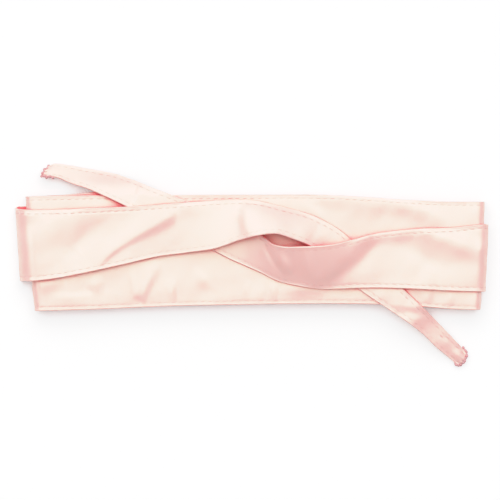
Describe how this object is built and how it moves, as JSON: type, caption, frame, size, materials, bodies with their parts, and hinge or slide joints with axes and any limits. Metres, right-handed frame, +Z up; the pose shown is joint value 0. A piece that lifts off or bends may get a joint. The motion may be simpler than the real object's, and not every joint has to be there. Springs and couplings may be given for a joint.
{
  "type": "satin sash",
  "caption": "Flat-folded satin sash whose two tapered ends twist once round each other on top, for tying at a waist or a bow.",
  "frame": {"origin": "centre of the bounding box, on the surface that the bundle rests on", "axes": "+X along the folded bundle, to the right of the picture; +Y to the top of the picture; +Z up from the surface"},
  "size_m": [0.285, 0.1217, 0.0233],
  "materials": {
    "left_satin": "soft sheen of blush pink satin",
    "right_satin": "soft sheen of blush pink satin",
    "wide_satin": "soft sheen of blush pink satin",
    "layer_satin": "blush pink satin in the shade between layers"
  },
  "bodies": {
    "root": {"left_band": "left_satin", "right_band": "right_satin", "wide_band": "wide_satin", "hidden_layers": "layer_satin"}
  },
  "joints": []
}
